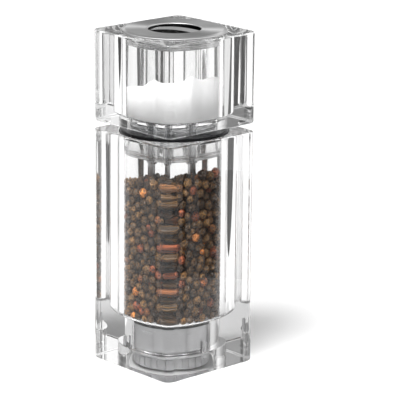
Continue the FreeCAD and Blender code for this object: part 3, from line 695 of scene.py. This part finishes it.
def add_housing():
    """The steel sleeve round the grinder, with a flange at its foot."""
    eye = 13.3 * MM
    seat = 14.3 * MM
    outer = radius("bearing_bridge")
    bore = outer - 1.2 * MM
    flange = radius("mechanism_housing")
    foot = low("mechanism_housing").z
    top = high("mechanism_housing").z
    flange_top = foot + 1.3 * MM
    seat_top = foot + 2.8 * MM
    shell = spin("housing_shell", [
        (eye, foot, TINY),
        (flange, foot, 0.3 * MM),
        (flange, flange_top, 0.3 * MM),
        (outer, flange_top, 0.5 * MM),
        (outer, top, 0.2 * MM),
        (bore, top, 0.2 * MM),
        (bore, seat_top, TINY),
        (seat, seat_top, TINY),
        (seat, flange_top, TINY),
        (eye, flange_top, TINY),
    ])
    finish_piece(shell, STEEL, "mill", "brushed_steel", "mechanism_housing")


WIRE_R = 0.4 * MM
COIL_TURNS = 3.5
COIL_STEPS = 140


def add_spring():
    """The coil spring above the rotor, built at one fixed length; in the real mill it shortens as
    the rotor rises.
    """
    foot = low("rotor_spring").z
    top = high("rotor_spring").z
    wire = WIRE_R
    coil = radius("rotor_spring") - wire
    around = 12
    vertices = []
    for step in range(COIL_STEPS + 1):
        part = step / COIL_STEPS
        angle = 2 * math.pi * COIL_TURNS * part
        outward = Vector((math.cos(angle), math.sin(angle), 0))
        middle = outward * coil + Vector((0, 0, foot + wire + (top - foot - 2 * wire) * part))
        for spot in range(around):
            turn = 2 * math.pi * spot / around
            vertices.append(middle + outward * wire * math.cos(turn)
                            - Vector((0, 0, wire * math.sin(turn))))
    faces = grid_faces(COIL_STEPS + 1, around, False)
    faces.append(tuple(reversed(range(around))))
    faces.append(tuple(range(COIL_STEPS * around, (COIL_STEPS + 1) * around)))
    spring = add_object("rotor_spring_coil", vertices, faces)
    finish_piece(spring, SPRING, "mill", "spring_steel", "rotor_spring")
    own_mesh(spring)


# ---------------------------------------------------------------- salt and peppercorns

# Mounds against the wall: direction and half width in degrees, rise in millimetres.
SALT_MOUNDS = (
    (-57, 8, 2.9),
    (-29, 8, 3.4),
    (16, 26, 5.6),
    (-100, 14, 0.6),
)
PEPPER_MOUNDS = (
    (16, 26, 3.8),
    (-103, 16, -2.0),
)
SALT_SLOPE = 0.32
PEPPER_SLOPE = 0.3
SALT_DROP = 0.5
RIPPLE = 0.22
RIPPLE_PACES = (0.83, 0.47, 0.91)  # radians per millimetre


def heap_rise(x, y, wall, mounds, slope):
    """Rise of a heap that leans against one side of its chamber, with mounds along the wall."""
    rise = 0
    for centre, wide, tall in mounds:
        way = math.radians(centre)
        gap = math.hypot(x - wall * math.cos(way), y - wall * math.sin(way))
        rise += tall * math.exp(-0.5 * (gap / (wall * math.radians(wide))) ** 2)
    return rise * MM - slope * (wall - x * TOWARDS.x - y * TOWARDS.y)


def salt_height(r, angle, wall):
    """Height of the salt's top above its CAD level."""
    x = r * math.cos(angle)
    y = r * math.sin(angle)
    pace, drift, cross = RIPPLE_PACES
    ripple = RIPPLE * math.sin(x / MM * pace + y / MM * drift) * math.sin(y / MM * cross)
    return heap_rise(x, y, wall, SALT_MOUNDS, SALT_SLOPE) + (ripple - SALT_DROP) * MM


def add_salt():
    """A heap of fine salt round the column, its top in low mounds."""
    foot = low("salt_fill").z
    level = high("salt_fill").z
    wall = radius("salt_fill") + 0.05 * MM
    column = radius("column_tube") + 0.03 * MM
    bevel = 1.1 * MM
    around = 192
    across = 28
    rings = [[(column, foot)] * around, [(wall - bevel, foot)] * around,
             [(wall, foot + bevel)] * around]
    for step in range(across + 1):
        part = 1 - step / across
        r = column + (wall - column) * part
        rings.append([(r, level + salt_height(r, index * 2 * math.pi / around, wall))
                      for index in range(around)])
    vertices = []
    for ring in rings:
        for index, (r, z) in enumerate(ring):
            angle = index * 2 * math.pi / around
            vertices.append((r * math.cos(angle), r * math.sin(angle), z))
    faces = grid_faces(len(rings), around, True)
    heap = add_object("salt_heap", vertices, faces)
    finish_piece(heap, SALT, "head", "salt", "salt_fill")


SHAFT_GAP = 3.7 * MM
HEAP_ABOVE = 4.3 * MM  # how far the heap's high side reaches above the CAD level
CORN_MEAN = 2.25 * MM
CORN_SPREAD = 0.18 * MM
CORN_LEAST = 1.7 * MM
CORN_MOST = 2.6 * MM
SMALL_SHARE = 0.1
SMALL_SIZE = 0.65
PACKING = 0.71  # the share of the chamber that the peppercorns fill
SETTLE_ROUNDS = 90
SINK = 0.12 * MM
SINKING_SHARE = 0.7
PUSH = 0.45
CORN_SHAPES = 10
WRINKLES = 7
WRINKLE_DEPTH = 0.22
SEED = 7
NEARLY_NOTHING = 1e-9


def settle(spots, sizes, wall, floor, floor_round, core, rounds):
    """Push overlapping peppercorns apart while they sink, inside the wall and off the shaft."""
    for turn in range(rounds):
        tree = kdtree.KDTree(len(spots))
        for index, spot in enumerate(spots):
            tree.insert(spot, index)
        tree.balance()
        moves = np.zeros_like(spots)
        for index, spot in enumerate(spots):
            reach = sizes[index] + sizes.max()
            for _, other, gap in tree.find_range(spot, reach):
                touch = sizes[index] + sizes[other]
                if other == index or gap >= touch or gap < NEARLY_NOTHING:
                    continue
                moves[index] += (spot - spots[other]) / gap * (touch - gap) * PUSH
        spots += moves
        spots[:, 2] -= SINK if turn < rounds * SINKING_SHARE else 0
        keep_inside(spots, sizes, wall, floor, floor_round, core)
    return spots


def keep_inside(spots, sizes, wall, floor, floor_round, core):
    """Hold every peppercorn inside the round chamber, above its floor and off the shaft."""
    spots[:, 2] = np.maximum(spots[:, 2], floor + sizes)
    far = np.hypot(spots[:, 0], spots[:, 1])
    reach = np.maximum(floor_round - sizes, 0)
    drop = np.clip(floor + floor_round - spots[:, 2], 0, reach)
    limit = wall - np.maximum(floor_round, sizes) + np.sqrt(reach ** 2 - drop ** 2)
    near = core + sizes
    wanted = np.clip(far, near, np.maximum(limit, near))
    scale = wanted / np.maximum(far, NEARLY_NOTHING)
    spots[:, 0] *= scale
    spots[:, 1] *= scale


def corn_shape(rng):
    """One peppercorn: a slightly uneven ball with wrinkles, and its faces."""
    ball = bpy.data.meshes.new("ball")
    shape = bmesh.new()
    bmesh.ops.create_icosphere(shape, subdivisions=3, radius=1)
    shape.to_mesh(ball)
    shape.free()
    spots = np.array([v.co for v in ball.vertices])
    faces = np.array([tuple(p.vertices) for p in ball.polygons])
    bpy.data.meshes.remove(ball)
    bumps = np.zeros(len(spots))
    for _ in range(WRINKLES):
        heading = rng.normal(size=3)
        heading /= np.linalg.norm(heading)
        pace = rng.uniform(3, 9)
        bumps += np.abs(np.sin(spots @ heading * pace + rng.uniform(0, 6))) / WRINKLES
    spots = spots * (1 - WRINKLE_DEPTH * bumps[:, None])
    return spots / np.abs(spots).max(), faces


def add_peppercorns():
    """A heap of separate peppercorns in one mesh, each with a tone and a turn of its own."""
    rng = np.random.default_rng(SEED)
    wall = PEPPER_R - 0.1 * MM
    floor = high("bearing_bridge").z + 0.15 * MM
    top = high("peppercorn_fill").z + HEAP_ABOVE
    space = math.pi * (wall ** 2 - SHAFT_GAP ** 2) * (top - floor)
    count = int(PACKING * space / (4 / 3 * math.pi * CORN_MEAN ** 3))
    sizes = np.clip(rng.normal(CORN_MEAN, CORN_SPREAD, count), CORN_LEAST, CORN_MOST)
    sizes[rng.uniform(size=count) < SMALL_SHARE] *= SMALL_SIZE
    far = np.sqrt(rng.uniform(SHAFT_GAP ** 2, (wall - CORN_MEAN) ** 2, count))
    angle = rng.uniform(0, 2 * math.pi, count)
    height = rng.uniform(floor + CORN_MEAN, top + 2 * MM, count)
    spots = np.stack([far * np.cos(angle), far * np.sin(angle), height], 1)
    rounds = SETTLE_ROUNDS
    spots = settle(spots, sizes, wall, floor, PEPPER_ROUND, SHAFT_GAP, rounds)
    kept = [index for index, (x, y, z) in enumerate(spots)
            if z + sizes[index] < top + heap_rise(x, y, wall, PEPPER_MOUNDS, PEPPER_SLOPE)]
    spots = spots[kept]
    sizes = sizes[kept]
    shapes = [corn_shape(rng) for _ in range(CORN_SHAPES)]
    vertices = []
    faces = []
    tones = []
    start = 0
    for spot, size in zip(spots, sizes):
        form, sides = shapes[rng.integers(len(shapes))]
        spin_axis = rng.normal(size=3)
        turn = rotation(spin_axis / np.linalg.norm(spin_axis), rng.uniform(0, 2 * math.pi))
        vertices.append(form @ turn.T * size + spot)
        faces.append(sides + start)
        tones.append(np.full(len(form), rng.uniform()))
        start += len(form)
    heap = add_object("peppercorn_heap", np.concatenate(vertices), np.concatenate(faces).tolist())
    tone = heap.data.attributes.new("tone", "FLOAT", "POINT")
    tone.data.foreach_set("value", np.concatenate(tones))
    finish_piece(heap, PEPPER, "mill", "peppercorns", "peppercorn_fill")


def rotation(axis, angle):
    """Rotation matrix about a unit axis."""
    x, y, z = axis
    cross = np.array([[0, -z, y], [z, 0, -x], [-y, x, 0]])
    return np.eye(3) + math.sin(angle) * cross + (1 - math.cos(angle)) * cross @ cross


# ---------------------------------------------------------------- insert and cap

BAR_TURN = 30
CLOSED_TURN = 90  # at rest the cap's holes stand a quarter turn from the insert's
POUR_CIRCLE = 9.7 * MM
POUR_R = 0.9 * MM
POUR_STEP = 22


def ring_loop(x, y, size, count):
    """The corners of a circle in the plan."""
    angles = [2 * math.pi * step / count for step in range(count)]
    return [(x + size * math.cos(angle), y + size * math.sin(angle)) for angle in angles]


def pierced_disc(name, inner, outer, foot, top, towards):
    """A flat disc with a hole at its middle and two groups of three pour holes. The groups are
    in line with the finger bar at rest, turned by towards degrees."""
    loops = [ring_loop(0, 0, outer, 128), ring_loop(0, 0, inner, 32)]
    for side in (0, 180):
        for step in (-1, 0, 1):
            angle = math.radians(BAR_TURN + towards + side + step * POUR_STEP)
            loops.append(ring_loop(POUR_CIRCLE * math.cos(angle), POUR_CIRCLE * math.sin(angle),
                                   POUR_R, 24))
    plan = bmesh.new()
    for loop in loops:
        corners = [plan.verts.new((x, y, 0)) for x, y in loop]
        for index, corner in enumerate(corners):
            plan.edges.new((corner, corners[(index + 1) % len(corners)]))
    plan.verts.index_update()
    filled = bmesh.ops.triangle_fill(plan, use_beauty=True, edges=plan.edges[:])["geom"]
    count = len(plan.verts)
    faces = []
    for face in filled:
        if not isinstance(face, bmesh.types.BMFace):
            continue
        face.normal_update()
        spots = [vertex.index for vertex in face.verts]
        if face.normal.z < 0:
            spots.reverse()
        faces.append(tuple(spots))
        faces.append(tuple(spot + count for spot in reversed(spots)))
    plan.free()
    start = 0
    for order, loop in enumerate(loops):
        for index in range(len(loop)):
            here = start + index
            beside = start + (index + 1) % len(loop)
            wall = (here + count, beside + count, beside, here)
            faces.append(wall if order == 0 else tuple(reversed(wall)))
        start += len(loop)
    flat = [spot for loop in loops for spot in loop]
    vertices = [(x, y, top) for x, y in flat] + [(x, y, foot) for x, y in flat]
    disc = add_object(name, vertices, faces)
    disc.data.polygons.foreach_set("use_smooth", [False] * len(faces))
    return disc


def add_insert():
    """The clear plug of the salt chamber: a ring with a groove, and a plate with pour holes."""
    eye = 12.2 * MM
    cup = 14.6 * MM
    bore = 13.2 * MM
    pivot_hole = 1.58 * MM
    outer = radius("shaker_insert")
    plate = low("shaker_insert").z
    top = high("shaker_insert").z
    foot = plate + 1.4 * MM
    plate_top = plate + 1.6 * MM
    groove, groove_low, groove_high = seal_groove("insert_seal")
    insert = spin("shaker_insert_clear", [
        (eye, plate, TINY),
        (cup, plate, 0.5 * MM),
        (cup, foot, 0.2 * MM),
        (outer, foot, 0.3 * MM),
        (outer, groove_low, TINY),
        (groove, groove_low, TINY),
        (groove, groove_high, TINY),
        (outer, groove_high, TINY),
        (outer, top, 0.2 * MM),
        (bore, top, 0.2 * MM),
        (bore, plate_top, 0.3 * MM),
        (eye, plate_top, TINY),
    ])
    finish_piece(insert, MOULDING, "stopper", "clear_moulding", "shaker_insert")
    plate_disc = pierced_disc("shaker_insert_plate", pivot_hole, eye, plate, plate_top, 0)
    finish_piece(plate_disc, MOULDING, "stopper", "clear_moulding")


def add_cap():
    """The steel disc with its dish, whose floor has the pour holes."""
    dish = 12.1 * MM
    eye = dish - 1 * MM
    cup = dish + 0.8 * MM
    pivot_hole = 1.55 * MM
    outer = radius("cap_disc")
    foot = low("cap_disc").z
    top = high("cap_disc").z
    dish_floor = foot + 0.8 * MM
    disc_foot = foot + 2.8 * MM
    cap = spin("cap_disc_turned", [
        (eye, foot, TINY),
        (cup, foot, 0.5 * MM),
        (cup, disc_foot, TINY),
        (outer, disc_foot, TINY),
        (outer, top - 0.5 * MM, 0.5 * MM),
        (outer - 1.5 * MM, top, 1.0 * MM),
        (dish + 0.3 * MM, top, 0.6 * MM),
        (dish, dish_floor, 0.8 * MM),
        (eye, dish_floor, TINY),
    ], 200)
    finish_piece(cap, CAP_STEEL, "cap", "polished_steel", "cap_disc")
    # Painted shade: the dish's walls and its pierced floor get the near-black copy of the steel.
    cap.data.materials.append(SHADED_DISH_STEEL)
    for face in cap.data.polygons:
        if math.hypot(face.center.x, face.center.y) < dish + 0.2 * MM:
            face.material_index = 1
    floor = pierced_disc("cap_dish_floor", pivot_hole, eye, foot, dish_floor, CLOSED_TURN)
    finish_piece(floor, SHADED_DISH_STEEL, "cap", "polished_steel")


# ---------------------------------------------------------------- stage

FLOOR_LEVEL = -0.25 * MM
FLOOR_REACH = 4.0
FLOOR_GREY = 0.9
CARD_LEVEL = -0.1 * MM
FRONT_CARD_LEVEL = CARD_LEVEL * 1.5  # clear of the other cards' plane


def add_sheet(name, corners, grey):
    """A flat matte sheet of the studio, with a faint mottle."""
    sheet = bpy.data.meshes.new(name)
    sheet.from_pydata(corners, [], [(0, 1, 2, 3)])
    obj = bpy.data.objects.new(name, sheet)
    SCENE.collection.objects.link(obj)
    material, tree, shader = new_material(name)
    mottle = noise(tree, 3, 2)
    tone = ramp(tree, mottle, [(0.3, [grey * 0.985] * 3), (0.7, [grey] * 3)])
    link(tree, tone, shader.inputs["Base Color"])
    shader.inputs["Roughness"].default_value = 0.9
    shader.inputs["Specular IOR Level"].default_value = 0.1
    sheet.materials.append(material)
    return obj


def add_floor():
    """The pale floor."""
    corners = [(x * FLOOR_REACH, y * FLOOR_REACH, FLOOR_LEVEL)
               for x, y in ((-1, -1), (1, -1), (1, 1), (-1, 1))]
    add_sheet("floor", corners, FLOOR_GREY)


def add_card(name, near, far, front, back, grey, level=CARD_LEVEL):
    """A grey card that lies beside the mill and only shows in and through its clear pieces. It
    reaches from near to far across the view and from back to front towards the camera."""
    corners = []
    for reach, depth in ((near, front), (far, front), (far, back), (near, back)):
        spot = ACROSS * reach + TOWARDS * depth
        corners.append((spot.x, spot.y, level))
    card = add_sheet(name, corners, grey)
    card.visible_camera = False
    card.visible_diffuse = False
    card.visible_shadow = False


LEFT_GLOW = 3.0
RIGHT_GLOW = 2.6
LOW_GLOW = 0.12
GLOW_FOCUS = 5.0
SIDE_LEAN = 0.5
FRONT_SHADE = 0.1
BACK_GREY = 0.4
TOP_GLOW = 0.3
CEILING_GLOW = 0.4


def add_world():
    """A soft grey studio: bright overhead and high at the two sides, dark before the mill."""
    world = bpy.data.worlds.new("studio")
    SCENE.world = world
    world.use_nodes = True
    tree = world.node_tree
    background = tree.nodes["Background"]
    place = tree.nodes.new("ShaderNodeTexCoord")
    side = dot(tree, place.outputs["Generated"], ACROSS)
    front = dot(tree, place.outputs["Generated"], TOWARDS)
    upward = dot(tree, place.outputs["Generated"], (0, 0, 1))
    sides = add_math(tree, "POWER", add_math(tree, "ABSOLUTE", side), GLOW_FOCUS)
    raised = add_math(tree, "MULTIPLY", sides, spread(tree, upward, 0.3, 0.5, LOW_GLOW, 1.0))
    level = spread(tree, side, -0.5, 0.5, LEFT_GLOW, RIGHT_GLOW)
    glow = add_math(tree, "MULTIPLY", raised, level)
    above = spread(tree, upward, 0.2, 0.9, BACK_GREY, TOP_GLOW)
    lean = add_math(tree, "MULTIPLY", side, SIDE_LEAN)
    facing = spread(tree, front, 0.0, 0.7, 1.0, FRONT_SHADE)
    dome = add_math(tree, "MULTIPLY", add_math(tree, "ADD", above, lean), facing)
    ceiling = spread(tree, upward, 0.7, 0.9, 0.0, CEILING_GLOW)
    total = add_math(tree, "ADD", add_math(tree, "ADD", glow, dome), ceiling)
    link(tree, total, background.inputs["Strength"])
    background.inputs["Color"].default_value = (1, 1, 1, 1)


def dot(tree, source, heading):
    """How far a direction points along a heading."""
    node = tree.nodes.new("ShaderNodeVectorMath")
    node.operation = "DOT_PRODUCT"
    node.inputs[1].default_value = heading
    link(tree, source, node.inputs[0])
    return node.outputs["Value"]


def add_math(tree, operation, first, second=None):
    """A Math node on a socket and a second socket or number, if any."""
    node = tree.nodes.new("ShaderNodeMath")
    node.operation = operation
    link(tree, first, node.inputs[0])
    if isinstance(second, float):
        node.inputs[1].default_value = second
    elif second is not None:
        link(tree, second, node.inputs[1])
    return node.outputs["Value"]


KEY_STRENGTH = 3.1
KEY_HEIGHT = math.radians(63)
KEY_SPREAD = math.radians(20)
KEY_LEFT = 0.65


def add_key():
    """A very large soft lamp far away, high and to the left of the camera."""
    data = bpy.data.lights.new("key", "SUN")
    data.energy = KEY_STRENGTH
    data.angle = KEY_SPREAD
    lamp = bpy.data.objects.new("key", data)
    SCENE.collection.objects.link(lamp)
    sideways = (TOWARDS - ACROSS * KEY_LEFT).normalized() * math.cos(KEY_HEIGHT)
    heading = -sideways - Vector((0, 0, math.sin(KEY_HEIGHT)))
    lamp.rotation_euler = heading.to_track_quat("-Z", "Y").to_euler()


# ---------------------------------------------------------------- build

BOUNCES = 40  # clear walls behind clear walls need many

SCENE.view_settings.view_transform = "Standard"
SCENE.cycles.max_bounces = BOUNCES
SCENE.cycles.glossy_bounces = BOUNCES
SCENE.cycles.transmission_bounces = BOUNCES
SCENE.cycles.transparent_max_bounces = BOUNCES
add_camera()
add_floor()
add_card("card_right_near", near=0.0, far=0.17, front=0.6, back=-0.06, grey=0.56)
add_card("card_right_dark", near=0.17, far=0.40, front=0.8, back=-0.8, grey=0.08)
add_card("card_right_far", near=0.40, far=1.3, front=1.2, back=-1.2, grey=0.62)
add_card("card_left_near", near=0.0, far=-0.50, front=0.6, back=-0.06, grey=0.52)
add_card("card_left_far", near=-0.50, far=-1.4, front=1.2, back=-1.2, grey=0.03)
add_card("card_front", near=-0.35, far=0.35, front=0.06, back=0.9, grey=0.32,
         level=FRONT_CARD_LEVEL)
add_world()
add_key()
add_mill_block()
add_head_block()
add_plug()
add_ring_seal("plug_seal_ring", "plug", "plug_seal")
add_hub()
add_column()
add_housing()
add_spring()
add_salt()
add_peppercorns()
add_insert()
add_ring_seal("insert_seal_ring", "stopper", "insert_seal")
add_cap()
for steel_node in ("drive_shaft", "shaft_washer", "shaft_nut", "shaft_clip", "lift_screw",
                   "housing_screws", "cap_push_nut"):
    repaint(steel_node, ROD)
repaint("grinding_ring", BURR)
repaint("grinding_rotor", BURR)
repaint("bearing_bridge", BLACK)
repaint("adjuster_dial", DIAL)
# The finger bar gets the lighter steel as painted highlight.
repaint("finger_bar", LIT_BAR_STEEL)
repaint("cap_screw", CAP_STEEL)
